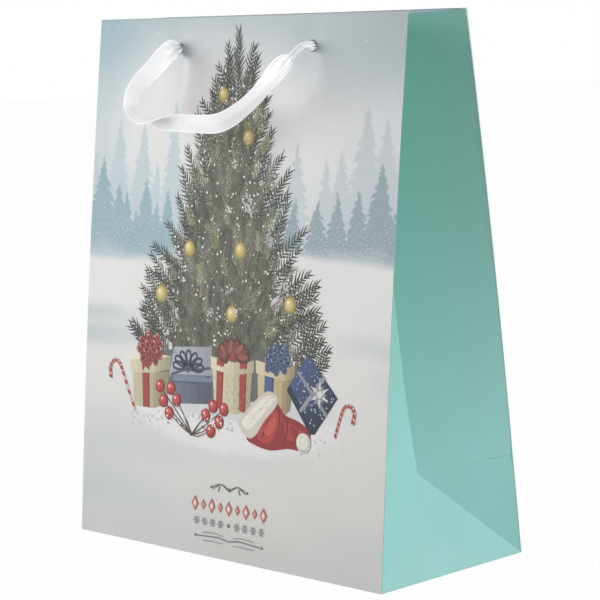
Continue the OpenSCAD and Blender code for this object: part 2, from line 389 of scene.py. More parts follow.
def pleated(half, fold, q, full=1.0):
    """Cross-section of the ribbon squeezed to a half width: its length stays, and the rest goes into pleats."""
    if half < RIBBON * 0.97:
        folds = 5
        lo_, hi_ = 0.0, 4.0
        for _ in range(24):
            amp = (lo_ + hi_) / 2
            b = amp * np.sin(math.pi * folds * q / 2 + 0.7)
            run = np.sum(np.hypot(np.diff(half * q), np.diff(b)))
            lo_, hi_ = (amp, hi_) if run < 2 * RIBBON else (lo_, amp)
        b = full * amp * np.sin(math.pi * folds * q / 2 + 0.7)
    else:
        b = 0 * q
    soft = 1.0 - smooth(0.75, 1.0, 1 - half / RIBBON)
    return half * q, b + fold * soft * (np.abs(q - 0.12) ** 1.3 - 0.45)


def ribbon_mesh(name, rows, place, mat, per=9, thick=0.16, cols=36):
    """A flat ribbon swept along its route; place turns panel coordinates into the row frame."""
    q = np.linspace(-1, 1, cols)
    stations = [(i, k / per) for i in range(len(rows) - 1) for k in range(per)] + [(len(rows) - 2, 1.0)]
    c = np.array([np.concatenate([spline(rows, i, t, k).reshape(1) for k in (0, 1, 2)]) for i, t in stations])
    run = np.concatenate([[0], np.cumsum(np.linalg.norm(np.diff(c, axis=0), axis=1))])
    verts, uvs = [], []
    n_rings = len(stations)
    for j, (i, t) in enumerate(stations):
        tan = c[min(j + 1, n_rings - 1)] - c[max(j - 1, 0)]
        tan /= np.linalg.norm(tan)
        w = spline(rows, i, t, 4)
        w = w - tan * (w @ tan)
        w /= np.linalg.norm(w)
        nn = np.cross(tan, w)
        half = float(spline(rows, i, t, 3))
        a, b = pleated(half, float(spline(rows, i, t, 5)), q, 1.0 + 0.9 * smooth(3.6, 1.0, abs(c[j][1])) * (mat is SATIN))
        b = b + 0.12 * np.sin(run[j] / 4.1) * (1 - q * q)
        da, db = np.gradient(a), np.gradient(b)
        ln = np.hypot(da, db) + 1e-9
        na, nb = -db / ln, da / ln
        for sgn in (1, -1):
            for m in (range(cols) if sgn > 0 else range(cols - 1, -1, -1)):
                p = c[j] + w * (a[m] + na[m] * thick * sgn) + nn * (b[m] + nb[m] * thick * sgn)
                verts.append(place(p[0], p[2], -p[1]))
                uvs.append((q[m], run[j] / 12.0))
    k = 2 * cols
    faces = []
    for j in range(n_rings - 1):
        for m in range(k):
            o = (m + 1) % k
            faces.append((j * k + m, j * k + o, (j + 1) * k + o, (j + 1) * k + m))
    faces.append(tuple(range(k - 1, -1, -1)))
    faces.append(tuple((n_rings - 1) * k + m for m in range(k)))
    ob = new_object(name, verts, faces, [mat], None, uvs)
    sharpen(ob, 50)
    return ob, c, float(run[-1])


def flat_front(x, s, n):
    return (x * MM, (-HD + s * SL + n * CL) * MM, (FOLD_Z + s * CL - n * SL) * MM)


def flat_back(x, s, n):
    a = flat_front(x, s, n)
    return (-a[0], -a[1], a[2])


def satin():
    m, nt, p = material("white_satin")
    k = N(nt)
    uv = k.node("ShaderNodeUVMap", uv_map="print").outputs[0]
    co = k.object_coords()
    sep = k.node("ShaderNodeSeparateXYZ")
    k.put(sep.inputs[0], uv)
    across, along = sep.outputs[0], sep.outputs[1]
    edge = k.step(0.86, 0.95, k.math("ABSOLUTE", across))
    weave = k.math("SINE", k.mul(across, 260.0))
    rib = k.math("SINE", k.mul(along, 420.0))
    tone = k.noise(co, 90, 3, 0.5)
    c = k.mix(tone, srgb(238, 238, 239), srgb(228, 228, 231))
    # painted highlight: both edges of the ribbon are painted near white; the same edge mask also gives the edges a
    # raised relief in the bump below
    c = k.mix(k.mul(edge, 0.85), c, srgb(252, 252, 252))
    k.put(p.inputs["Base Color"], c)
    k.put(p.inputs["Roughness"], k.math("MULTIPLY_ADD", tone, 0.12, 0.3))
    p.inputs["Sheen Weight"].default_value = 0.25
    p.inputs["Sheen Roughness"].default_value = 0.4
    p.inputs["Specular IOR Level"].default_value = 0.55
    n1 = k.bump(weave, 0.10, 0.0001)
    n2 = k.bump(rib, 0.06, 0.0001, n1)
    n3 = k.bump(edge, 0.5, 0.0002, n2)
    k.put(p.inputs["Normal"], k.bump(k.noise(co, 220, 2, 0.5), 0.12, 0.0006, n3))
    return m


SATIN = satin()


def handle(side):
    place = flat_front if side == "front" else flat_back
    ob, c, run = ribbon_mesh(f"{side}_satin_ribbon", ROUTE, place, SATIN)
    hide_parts(f"{side}_ribbon_handle")
    out = Vector(place(0, 0, -1)) - Vector(place(0, 0, 0))
    base = Vector(place(0, HOLE_S, 0))
    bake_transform(ob)
    path = [list(place(p[0], p[2], -p[1])) for p in c[::3]] + [list(place(c[-1][0], c[-1][2], -c[-1][1]))]


handle("front")
handle("back")


def knot(side):
    """Inside the mouth each ribbon end is tied in an overhand knot with a short tail."""
    place = SIDES[side][0]
    bits = []
    for k in (-1, 1):
        x0, s0, n0 = k * HOLE_X, HOLE_S, HEM_N + T
        turns = []
        n_t = 30
        for j in range(n_t + 1):
            a = 2 * math.pi * j / n_t
            turns.append((x0 + 1.35 * (math.sin(a) + 1.7 * math.sin(2 * a)), n0 + 2.7 - 1.1 * math.sin(3 * a), s0 + 1.35 * (math.cos(a) - 1.7 * math.cos(2 * a)),
                          1.5, (0.25, 1.0, 0.15), 0))
        wrap = lambda x, s, n: place(x, s, -n)
        ob, _, _ = ribbon_mesh("k", turns, wrap, SATIN, per=3, thick=0.35, cols=12)
        bits.append(ob)
        neck = [(x0, n, s0, 2.3 + 0.2 * smooth(1, 3, n), (0.7, 0, 0.7), 0) for n in (-0.6, 0.2, 1.0, 1.8, 2.6, 3.6)]
        ob, _, _ = ribbon_mesh("n", neck, wrap, SATIN, per=3, thick=0.3, cols=14)
        bits.append(ob)
        tail = [(x0 + k * 0.4, n0 + 2.4, s0 - 2, 2.0, (1, 0, 0), 0), (x0 + k * 0.6, n0 + 3.0, s0 - 6, 3.0, (1, 0.1, 0), 0.3), (x0 + k * 0.4, n0 + 2.6, s0 - 10, 3.5, (1, 0.15, 0), 0.3),
                (x0 - k * 0.2, n0 + 1.8, s0 - 14, 3.7, (1, 0.1, 0), 0.2), (x0 - k * 0.5, n0 + 1.2, s0 - 18.6, 3.8, (1, 0.05, 0.1), 0.1)]
        ob, _, _ = ribbon_mesh("t", tail, wrap, SATIN, per=6, thick=0.16, cols=16)
        bits.append(ob)
    return join(f"{side}_ribbon_knot_pair", bits)

# ------------------------------------------------------------------ the print: background in the paper's material
# Print coordinates, in mm: X from the panel's left edge, Y down from its top edge.
GAIN = 1.0


def ink(r, g, b):
    c = srgb(r, g, b)
    return tuple(min(0.88, v * GAIN) for v in c[:3]) + (1.0,)


FOREST = [
    # tip X, tip Y, height, half width, which tone (0 far, 1 near)
    (24, 60, 88, 13, 0), (46, 62, 84, 13, 0), (74, 49, 94, 10, 0), (1, 80, 70, 10, 0), (60, 86, 60, 8, 0),
    (10, 84, 60, 13, 1), (25, 100, 44, 9, 1), (33, 105, 40, 8, 1), (51, 97, 50, 10, 1), (61, 111, 36, 7, 1), (71, 103, 42, 8, 1), (42, 116, 30, 7, 1), (-4, 104, 40, 9, 1),
    (181, 73, 66, 12, 0), (205, 81, 58, 9, 0), (217, 76, 62, 10, 0), (235, 51, 88, 15, 0), (250, 58, 82, 14, 0), (262, 74, 66, 11, 0),
    (200, 105, 34, 8, 1), (215, 100, 38, 8, 1), (231, 99, 39, 8, 1), (248, 83, 56, 12, 1), (181, 104, 34, 7, 1), (262, 104, 36, 8, 1)]


def winter_paper(name):
    m, nt, p = material(name)
    k = N(nt)
    uv = k.node("ShaderNodeUVMap", uv_map="print").outputs[0]
    sep = k.node("ShaderNodeSeparateXYZ")
    k.put(sep.inputs[0], uv)
    X = k.math("MULTIPLY_ADD", sep.outputs[0], 100.0, HW)
    Y = k.math("MULTIPLY_ADD", sep.outputs[1], -100.0, H)
    co = k.object_coords()
    n_big = k.noise(uv, 2.2, 3, 0.5)
    n_mid = k.noise(uv, 9, 3, 0.55)
    n_fine = k.noise(uv, 34, 3, 0.6)
    wob = k.sub(n_big, 0.5)

    # sky: grey blue along the top, light behind the tree, teal in the upper left corner, greyer to the right
    Yq = k.math("MULTIPLY_ADD", k.step(130, 262, X), -30.0, Y)
    c = k.mix(k.step(49, -12, k.math("MULTIPLY_ADD", wob, 10.0, Yq)), ink(221, 220, 220), ink(178, 188, 192))
    c = k.mix(k.mul(k.step(176, 262, X), k.mul(k.step(60, 0, Y), 0.8)), c, ink(162, 173, 177))
    c = k.mix(k.mul(k.step(200, 262, X), k.mul(k.step(20, 90, Y), 0.45)), c, ink(190, 196, 201))
    corner = k.math("SQRT", k.add(k.math("POWER", k.mul(X, 1 / 72.0), 2.0), k.math("POWER", k.mul(Y, 1 / 70.0), 2.0)))
    c = k.mix(k.mul(k.step(1.05, 0.0, k.add(corner, k.mul(wob, 0.4))), 0.9), c, ink(148, 178, 187))
    c = k.mix(k.mul(k.step(46, 0, X), 0.4), c, ink(154, 180, 187))
    left = k.math("SQRT", k.add(k.math("POWER", k.mul(X, 1 / 90.0), 2.0), k.math("POWER", k.mul(k.sub(Y, 122.0), 1 / 36.0), 2.0)))
    c = k.mix(k.mul(k.step(1.2, 0.1, left), 0.6), c, ink(170, 189, 195))
    right = k.math("SQRT", k.add(k.math("POWER", k.mul(k.sub(X, 262.0), 1 / 96.0), 2.0), k.math("POWER", k.mul(k.sub(Y, 126.0), 1 / 40.0), 2.0)))
    c = k.mix(k.mul(k.step(1.2, 0.1, right), 0.55), c, ink(176, 188, 194))

    # the forest: each fir is a jagged cone that fades into mist at its foot
    edge = k.math("MULTIPLY_ADD", k.sub(n_fine, 0.5), 7.0, X)
    edge = k.math("MULTIPLY_ADD", k.sub(n_mid, 0.5), 5.0, edge)
    rag = k.mul(k.sub(n_mid, 0.5), 14.0)

    def fir(tx, ty, tall, wide):
        h = k.sub(Y, float(ty))
        saw = k.math("FRACT", k.math("MULTIPLY_ADD", k.add(h, rag), 1 / (3.6 + wide * 0.26), 0.31 * tx))
        w = k.mul(k.mul(h, 1.75 * wide / tall), k.math("MULTIPLY_ADD", saw, 0.42, 0.6))
        w = k.math("ADD", w, 0.3)
        side = k.math("SUBTRACT", w, k.math("ABSOLUTE", k.sub(edge, float(tx))))
        body = k.step(-0.5, 0.7, side)
        top = k.step(-0.6, 0.6, h)
        foot = k.step(ty + tall + 3, ty + tall * 0.76, Y)
        return k.mul(k.mul(body, top), k.math("MULTIPLY_ADD", foot, 0.8, 0.2))

    for tone in (0, 1):
        mask = None
        for tx, ty, tall, wide, t in FOREST:
            if t == tone:
                f = fir(tx, ty, tall, wide)
                mask = f if mask is None else k.math("MAXIMUM", mask, f)
        lefty = k.step(150, 90, X)
        if tone == 0:
            col = k.mix(lefty, ink(186, 194, 198), ink(178, 196, 201))
            amount = 0.8
        else:
            col = k.mix(lefty, ink(143, 160, 167), ink(141, 169, 177))
            amount = 0.93
        c = k.mix(k.mul(mask, amount), c, col)
        if tone == 0:
            c = k.mix(k.mul(k.step(40, 118, Y), 0.25), c, ink(200, 207, 210))

    # the snow field, with long soft hollows
    line = k.math("MULTIPLY_ADD", k.math("SINE", k.math("MULTIPLY_ADD", X, 1 / 42.0, 0.9)), 3.0, 139.0)
    line = k.math("MULTIPLY_ADD", wob, 8.0, line)
    line = k.math("MULTIPLY_ADD", k.step(110, 20, X), 5.0, line)
    ground = k.step(-2.5, 3.5, k.sub(Y, line))
    snow = k.mix(k.step(150, 330, Y), ink(224, 223, 221), ink(203, 203, 199))
    snow = k.mix(k.mul(k.step(0.35, 0.7, n_big), 0.35), snow, ink(214, 215, 213))
    snow = k.mix(k.mul(k.step(120, 0, X), k.mul(k.step(226, 262, Y), 0.55)), snow, ink(194, 199, 198))
    snow = k.mix(k.mul(k.step(284, 318, Y), 0.5), snow, ink(193, 195, 193))

    def hollow(y, h, amp, wave, x_from, x_to, col, base):
        yy = k.math("MULTIPLY_ADD", k.math("SINE", k.math("MULTIPLY_ADD", X, 1 / wave, amp)), 2.5, y)
        yy = k.math("MULTIPLY_ADD", wob, 9.0, yy)
        d = k.math("ABSOLUTE", k.mul(k.sub(Y, yy), 1 / h))
        f = k.mul(k.step(1.0, 0.0, d), k.step(x_from, x_to, X))
        return k.mix(k.mul(f, col), base, ink(187, 196, 199))

    snow = hollow(180, 9, 0.4, 60.0, 75, 10, 0.75, snow)
    snow = hollow(192, 13, 1.4, 75.0, 95, 0, 0.9, snow)
    snow = hollow(184, 10, 2.4, 50.0, 195, 262, 0.55, snow)
    snow = hollow(208, 14, 0.2, 66.0, 240, 262, 0.4, snow)
    snow = hollow(262, 16, 3.0, 90.0, 260, 60, 0.2, snow)
    snow = hollow(290, 15, 0.0, 80.0, 130, 0, 0.6, snow)
    snow = hollow(300, 22, 0.5, 80.0, 190, 265, 0.35, snow)
    c = k.mix(ground, c, snow)

    # the bright mound that the gifts stand on, and their soft shadow
    mound = k.math("SQRT", k.add(k.math("POWER", k.mul(k.sub(X, 134.0), 1 / 98.0), 2.0), k.math("POWER", k.mul(k.sub(Y, 233.0), 1 / 26.0), 2.0)))
    mound = k.math("MULTIPLY_ADD", k.sub(n_mid, 0.5), 0.35, mound)
    c = k.mix(k.mul(k.step(1.02, 0.8, mound), 0.7), c, ink(224, 225, 225))
    shade = k.math("SQRT", k.add(k.math("POWER", k.mul(k.sub(X, 130.0), 1 / 98.0), 2.0), k.math("POWER", k.mul(k.sub(Y, 226.0), 1 / 13.0), 2.0)))
    c = k.mix(k.mul(k.step(1.05, 0.7, shade), 0.28), c, ink(150, 158, 166))

    # falling snow and rime on the near firs
    vor = k.node("ShaderNodeTexVoronoi", voronoi_dimensions="2D", feature="F1")
    k.put(vor.inputs["Vector"], uv)
    vor.inputs["Scale"].default_value = 17.0
    vor.inputs["Randomness"].default_value = 1.0
    rnd = k.node("ShaderNodeSeparateColor")
    k.put(rnd.inputs[0], vor.outputs["Color"])
    size = k.math("MULTIPLY_ADD", rnd.outputs[0], 0.10, -0.02)
    dot = k.step(0.02, -0.03, k.sub(vor.outputs["Distance"], size))
    dot = k.mul(dot, k.step(0.62, 0.66, rnd.outputs[1]))
    upper = k.step(150, 132, Y)
    c = k.mix(k.mul(k.mul(dot, upper), 0.75), c, ink(238, 240, 241))
    vor2 = k.node("ShaderNodeTexVoronoi", voronoi_dimensions="2D", feature="F1")
    k.put(vor2.inputs["Vector"], uv)
    vor2.inputs["Scale"].default_value = 46.0
    rime = k.mul(k.step(0.17, 0.09, vor2.outputs["Distance"]), k.mul(k.step(100, 128, Y), k.step(146, 138, Y)))
    c = k.mix(k.mul(rime, 0.6), c, ink(232, 235, 236))

    # painted shade: soft darker vertical strips below the ribbon holes, standing in for the shade of the dents that
    # the handles pull into the paper
    for hx in (-1, 1):
        dx = k.math("ABSOLUTE", k.mul(k.sub(X, HW + hx * HOLE_X + 2.5), 1 / 6.0))
        f = k.mul(k.mul(k.step(1.0, 0.0, dx), k.step(10, 20, Y)), k.step(62, 20, Y))
        c = k.mix(k.mul(f, 0.22), c, ink(150, 158, 164))
    k.put(p.inputs["Base Color"], c)
    paper_finish(k, p, co, 0.55, 0.06, 0.06)
    p.inputs["Specular IOR Level"].default_value = 0.25
    return m


# ------------------------------------------------------------------ the print: its sharp drawing, laid on the paper
class Art:
    """Flat shapes in print coordinates. Each colour is one plain material, each layer lies a hair above the last."""
    STEP = 0.003

    def __init__(self):
        self.tris, self.tone, self.lift, self.colours = [], [], [], {}
        self.layer = 1

    def colour(self, rgb):
        rgb = tuple(int(max(0, min(255, round(c / 3) * 3))) for c in rgb)
        return self.colours.setdefault(rgb, len(self.colours))

    def tri(self, a, b, c, tone):
        long = max(math.dist(a, b), math.dist(b, c), math.dist(c, a))
        if long > 16:
            ab, bc, ca = [((p[0] + q[0]) / 2, (p[1] + q[1]) / 2) for p, q in ((a, b), (b, c), (c, a))]
            for t in ((a, ab, ca), (ab, b, bc), (ca, bc, c), (ab, bc, ca)):
                self.tri(*t, tone)
            return
        if (b[0] - a[0]) * (c[1] - a[1]) - (b[1] - a[1]) * (c[0] - a[0]) > 0:
            b, c = c, b
        self.tris.append((a, b, c))
        self.tone.append(tone)
        self.lift.append(self.layer)

    def poly(self, pts, rgb):
        t = self.colour(rgb)
        if len(pts) == 3:
            self.tri(*pts, t)
            return
        for i, j, k in tessellate_polygon([[Vector((p[0], p[1], 0)) for p in pts]]):
            self.tri(pts[i], pts[j], pts[k], t)

    def disc(self, x, y, r, rgb, sides=20, squash=1.0, turn=0.0):
        ct, st = math.cos(turn), math.sin(turn)
        pts = []
        for i in range(sides):
            a = 2 * math.pi * i / sides
            px, py = r * math.cos(a), r * squash * math.sin(a)
            pts.append((x + px * ct - py * st, y + px * st + py * ct))
        t = self.colour(rgb)
        for i in range(1, sides - 1):
            self.tri(pts[0], pts[i], pts[i + 1], t)

    def line(self, pts, w0, w1, rgb):
        """A stroke whose width goes from w0 to w1."""
        t = self.colour(rgb)
        n = len(pts)
        side = []
        for i, p in enumerate(pts):
            a, b = pts[max(0, i - 1)], pts[min(n - 1, i + 1)]
            l = math.dist(a, b) + 1e-9
            nx, ny = -(b[1] - a[1]) / l, (b[0] - a[0]) / l
            w = (w0 + (w1 - w0) * i / (n - 1)) / 2
            side.append(((p[0] + nx * w, p[1] + ny * w), (p[0] - nx * w, p[1] - ny * w)))
        for i in range(n - 1):
            self.tri(side[i][0], side[i][1], side[i + 1][1], t)
            self.tri(side[i][0], side[i + 1][1], side[i + 1][0], t)

    def build(self, name, place, body):
        mats = []
        for rgb in self.colours:
            m, nt, p = material("print_" + "_".join(str(c) for c in rgb))
            p.inputs["Base Color"].default_value = ink(*rgb)
            p.inputs["Roughness"].default_value = 0.5
            p.inputs["Specular IOR Level"].default_value = 0.25
            mats.append(m)
        verts, faces = [], []
        for t, l in zip(self.tris, self.lift):
            i = len(verts)
            verts += [place(p[0] - HW, H - p[1], -0.03 - self.STEP * l) for p in t]
            faces.append((i, i + 1, i + 2))
        ob = new_object(name, verts, faces, mats, self.tone, None)
        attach(ob, body)
        return ob


GREENS = [(46, 50, 44), (64, 68, 58), (88, 92, 78), (118, 122, 104), (156, 160, 142)]
YOUNG = [(92, 104, 66), (112, 124, 80), (134, 146, 100), (152, 162, 120), (170, 178, 142)]


def twig(art, x, y, ang, length, rng, light=0, needle=6.4, space=1.75, greens=GREENS, fan=0.0, width=0.2):
    """A fir twig: a thin stem with needles on both sides. ang is measured from straight up, clockwise."""
    bend = rng.uniform(-0.25, 0.25)
    pts = []
    n = max(5, int(length / space))
    for i in range(n + 1):
        a = ang + bend * i / n
        if not pts:
            pts.append((x, y))
        else:
            pts.append((pts[-1][0] + math.sin(a) * length / n, pts[-1][1] - math.cos(a) * length / n))
    art.line(pts, 0.8, 0.35, (104, 94, 78) if rng.random() < 0.5 else greens[max(0, light - 1)])
    for i in range(n + 1):
        a = ang + bend * i / n
        f = i / n
        for sd in (-1, 1):
            open_ = (rng.uniform(0.6, 0.88) + fan) * (1 - 0.5 * f ** 2)
            b = a + sd * open_
            ln = needle * (1 - 0.3 * f) * rng.uniform(0.75, 1.12)
            px, py = pts[i]
            tx, ty = px + math.sin(b) * ln, py - math.cos(b) * ln
            nx, ny = math.cos(b) * width, math.sin(b) * width
            tone = art.colour(greens[min(4, max(0, light + rng.choice((-1, 0, 0, 1))))])
            art.tri((px - nx * 0.7, py - ny * 0.7), (px + nx, py + ny), (tx, ty), tone)
            art.tri((px - nx * 0.7, py - ny * 0.7), (tx, ty), ((px + tx) / 2 - nx * 1.2, (py + ty) / 2 - ny * 1.2), tone)


def fir_tree(art, rng):
    cx, top = 127.5, 3.5
    half = lambda y: 0.5 * (y - top) * (1 - 0.0009 * (y - top)) + 1.0
    # the dark mass inside
    left, right = [], []
    for y in np.arange(52, 208, 3.5):
        w = max(half(y) * 0.74 - 8.0, 0.8)
        left.append((cx - w * rng.uniform(0.84, 1.08), float(y)))
        right.append((cx + w * rng.uniform(0.84, 1.08), float(y)))
    for i in range(len(left) - 1):
        art.poly([left[i], right[i], right[i + 1], left[i + 1]], (92, 95, 85))
    art.layer += 1
    rim, inner = [], []
    y = 24.0
    while y < 196:                            # boughs that reach past the outline, turned outwards
        w = half(y)
        for sd in (-1, 1):
            reach = rng.uniform(0.9, 1.12)
            down = min(1.0, y / 150)
            lean = sd * (0.22 + 0.75 * down + rng.uniform(-0.16, 0.2))
            length = min(22, 10 + w * 0.24) * rng.uniform(0.9, 1.12)
            bx = cx + sd * max(2.0, w * reach - length * abs(math.sin(lean)))
            rim.append((bx, y + length * 0.55, lean, length, rng.choice((0, 0, 1))))
            if w > 26:
                rim.append((bx - sd * rng.uniform(7, 11), y + length * 0.45 + rng.uniform(1, 5), lean * 0.7, length * 0.9, rng.choice((0, 1))))
        y += 9.6 + rng.uniform(-0.8, 1.8)
    y = 40.0
    while y < 206:
        w = half(y) * 0.8
        k = max(1, int(w / 5.8))
        for i in range(-k, k + 1):
            f = i / k
            inner.append((cx + f * (w - 7) + rng.uniform(-3, 3), y + rng.uniform(-3, 3), 0.7 * f + rng.uniform(-0.6, 0.6), rng.uniform(9, 14), rng.choice((0, 0, 1, 2, 2, 3, 3))))
        y += 4.8
    rng.shuffle(inner)
    for q, t in enumerate(inner):
        if q % (len(inner) // 4) == 0:
            art.layer += 1
        x, y, lean, length, light = t
        twig(art, x, y, lean, length, rng, light)
    art.layer += 1
    for x, y, lean, length, light in rim:
        twig(art, x, y, lean, length, rng, light, 9.2, 2.6, GREENS, 0.08, 0.56)
    art.layer += 1
    # the leading shoot and the arms at its sides
    twig(art, cx, 34, 0.0, 24, rng, 1, 10.0, 2.3, GREENS, 0.0, 0.6)
    twig(art, cx + 0.6, 52, 0.0, 30, rng, 0, 9.4, 2.2, GREENS, 0.0, 0.5)
    for x, y, a, l in ((cx - 9, 43, -0.1, 18), (cx + 10.5, 43, 0.2, 18), (cx - 5, 50, -0.16, 18), (cx + 5, 52, 0.15, 18), (cx - 17, 60, -0.4, 15), (cx + 15, 62, 0.5, 15)):
        twig(art, x, y, a, l, rng, 1, 9.0, 2.3, GREENS, 0.0, 0.56)
    # the lowest boughs reach out to both sides
    for sd in (-1, 1):
        for i in range(8):
            yy = 156 + i * 6.2
            rr = half(yy) - 12 + rng.uniform(-4, 3) - (6 if i > 7 else 0)
            twig(art, cx + sd * rr, yy + 5, sd * rng.uniform(0.7, 1.2), rng.uniform(15, 19), rng, rng.choice((0, 1)), 9.0, 2.4, GREENS, 0.05, 0.54)
    art.layer += 1
    # lighter sprays on top
    for q in range(120):
        y = rng.uniform(50, 192)
        x = cx + rng.uniform(-0.72, 0.72) * half(y)
        twig(art, x, y, (x - cx) / 55 + rng.uniform(-0.45, 0.45), rng.uniform(8, 12), rng, rng.choice((2, 3, 4)), 5.8, 1.8, YOUNG if q % 4 == 0 else GREENS, 0.05, 0.26)
        if q % 28 == 27:
            art.layer += 1
    art.layer += 1
    # cones
    for x, y in ((108, 108), (143, 116), (103, 163), (150, 152)):
        for _ in range(26):
            a, r = rng.uniform(0, 6.28), rng.uniform(0, 1) ** 0.6
            px, py = x + 4.6 * r * math.cos(a), y + 3.4 * r * math.sin(a)
            art.disc(px, py, rng.uniform(0.5, 1.0), rng.choice(((96, 84, 70), (122, 108, 90), (168, 158, 142), (74, 66, 56))), 6)
    # gilt balls
    art.layer += 1
    for x, y, r in ((115.5, 46, 4.6), (139.5, 71, 5.0), (93, 138, 5.0), (138, 137, 5.2), (69, 166.5, 5.6), (133, 174.5, 5.2), (181.5, 166, 5.0)):
        ball(art, x, y, r)
    art.layer += 5
    # snow on the needles
    for _ in range(330):
        y = rng.uniform(40, 197)
        x = cx + rng.uniform(-1, 1) * (half(y) - 4)
        art.disc(x, y, rng.choice((0.35, 0.45, 0.6, 0.8)), (224, 227, 225), 6)
    for _ in range(9):
        y = rng.uniform(70, 190)
        x = cx + rng.uniform(-0.75, 0.75) * half(y)
        for _ in range(26):
            art.disc(x + rng.gauss(0, 2.0), y + rng.gauss(0, 1.7), rng.uniform(0.3, 0.7), rng.choice(((206, 210, 204), (226, 228, 226), (186, 192, 182))), 5)
    art.layer += 1


def ball(art, x, y, r):
    lay = art.layer
    for i, (dx, dy, f, col) in enumerate(((0, 0, 1, (130, 116, 66)), (-0.05, -0.05, 0.9, (156, 140, 78)), (-0.12, -0.1, 0.76, (180, 163, 92)), (-0.18, -0.18, 0.55, (200, 182, 112)), (-0.24, -0.24, 0.36, (216, 196, 142)), (-0.32, -0.32, 0.16, (234, 222, 186)))):
        art.layer = lay + i
        art.disc(x + dx * r, y + dy * r, r * f, col, 22)
    art.layer = lay
    art.poly([(x - 0.9, y - r - 1.2), (x + 0.9, y - r - 1.2), (x + 1.1, y - r + 0.4), (x - 1.1, y - r + 0.4)], (150, 130, 78))


def bow(art, x, y, r, dark, mid, bright, rng, petals=9, squash=0.84):
    """A rosette of ribbon loops: each loop is a band round the dark hollow of its inside."""
    for ring, (count, reach, size) in enumerate(((petals, 0.66, 0.36), (petals - 2, 0.5, 0.33), (5, 0.24, 0.3))):
        for i in range(count):
            a = 2 * math.pi * (i + 0.5 * ring) / count + 0.3 + rng.uniform(-0.14, 0.14)
            ux, uy = math.cos(a), math.sin(a) * squash
            px, py = x + r * reach * ux, y + r * reach * uy
            base = art.layer
            art.disc(px, py, r * size, dark, 12, 0.66, a)
            art.layer = base + 1
            art.disc(px, py, r * size * 0.9, mid, 12, 0.58, a)
            art.layer = base + 2
            art.disc(px + r * size * 0.18 * ux, py + r * size * 0.18 * uy, r * size * 0.6, dark, 10, 0.42, a)
            art.layer = base + 3
            lit = bright if uy < 0.35 else mid
            arc = [(px + r * size * (0.8 * math.cos(q) * math.cos(a) - 0.5 * math.sin(q) * math.sin(a)), py + r * size * (0.8 * math.cos(q) * math.sin(a) + 0.5 * math.sin(q) * math.cos(a))) for q in np.linspace(-0.6, 0.6, 4)]
            art.line(arc, r * 0.10, r * 0.05, lit)
            art.layer = base
        art.layer += 4
    art.disc(x, y, r * 0.13, mid, 10)


def quad_grad(art, a, b, c, d, c0, c1, n=6, across=True):
    """A quadrangle a b c d (clockwise from its upper left) shaded in n steps from c0 to c1."""
    mixp = lambda p, q, t: (p[0] + (q[0] - p[0]) * t, p[1] + (q[1] - p[1]) * t)
    for i in range(n):
        t0, t1 = i / n, (i + 1) / n
        col = [c0[j] + (c1[j] - c0[j]) * (i / max(1, n - 1)) for j in range(3)]
        if across:
            art.poly([mixp(a, b, t0), mixp(a, b, t1), mixp(d, c, t1), mixp(d, c, t0)], col)
        else:
            art.poly([mixp(a, d, t0), mixp(b, c, t0), mixp(b, c, t1), mixp(a, d, t1)], col)


